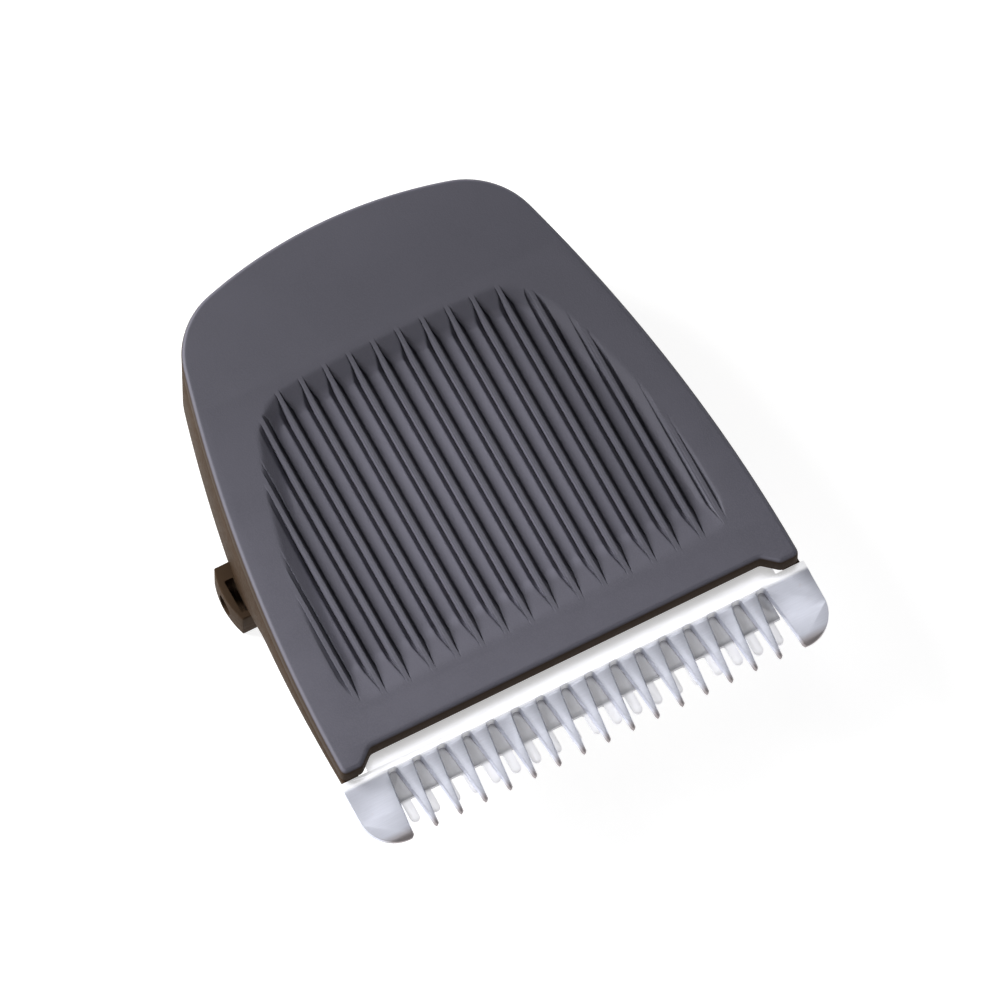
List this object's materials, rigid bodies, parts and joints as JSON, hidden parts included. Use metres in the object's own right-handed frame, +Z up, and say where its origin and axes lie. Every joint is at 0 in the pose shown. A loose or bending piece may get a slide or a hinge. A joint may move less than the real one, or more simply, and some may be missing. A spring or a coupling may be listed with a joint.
{
  "type": "hair clipper blade head",
  "caption": "Detachable blade head of a hair clipper: ribbed dark face cover over a steel comb guard, with a sliding steel cutter below it and two side clip arms.",
  "frame": {"origin": "centre of the head's box, on the surface it stands on, under the clip arms", "axes": "+Z up out of the ribbed face, -Y towards the teeth, +X to the right with the teeth towards the viewer"},
  "size_m": [0.048, 0.0576, 0.0132],
  "materials": {
    "face_plastic": "fine moulded grain, dry matt",
    "frame_plastic": "moulded, matt",
    "guard_steel": "bright ground",
    "cutter_steel": "ground",
    "screw_steel": "zinc plated",
    "spring_steel": "drawn wire",
    "carrier_plastic": "natural acetal",
    "fork_plastic": "black acetal",
    "rivet_brass": "satin"
  },
  "bodies": {
    "head": {"face_cover": "face_plastic", "frame": "frame_plastic", "guard_blade": "guard_steel", "blade_clamp": "frame_plastic", "clamp_screw_left": "screw_steel", "clamp_screw_right": "screw_steel", "locating_pin_left": "screw_steel", "locating_pin_right": "screw_steel", "frame_screw_left": "screw_steel", "frame_screw_right": "screw_steel", "leg_spring_left": "spring_steel", "leg_spring_right": "spring_steel", "spring_pin_left": "screw_steel", "spring_pin_right": "screw_steel"},
    "cutter": {"cutter_blade": "cutter_steel", "cutter_carrier": "carrier_plastic", "drive_fork": "fork_plastic", "carrier_rivet_left": "rivet_brass", "carrier_rivet_right": "rivet_brass", "spring_seat_left": "spring_steel", "spring_seat_right": "spring_steel"}
  },
  "joints": [
    {"name": "cutter_slide", "type": "slide", "parent": "head", "child": "cutter", "axis": [1, 0, 0], "range_m": [-0.00078, 0.00162]}
  ]
}
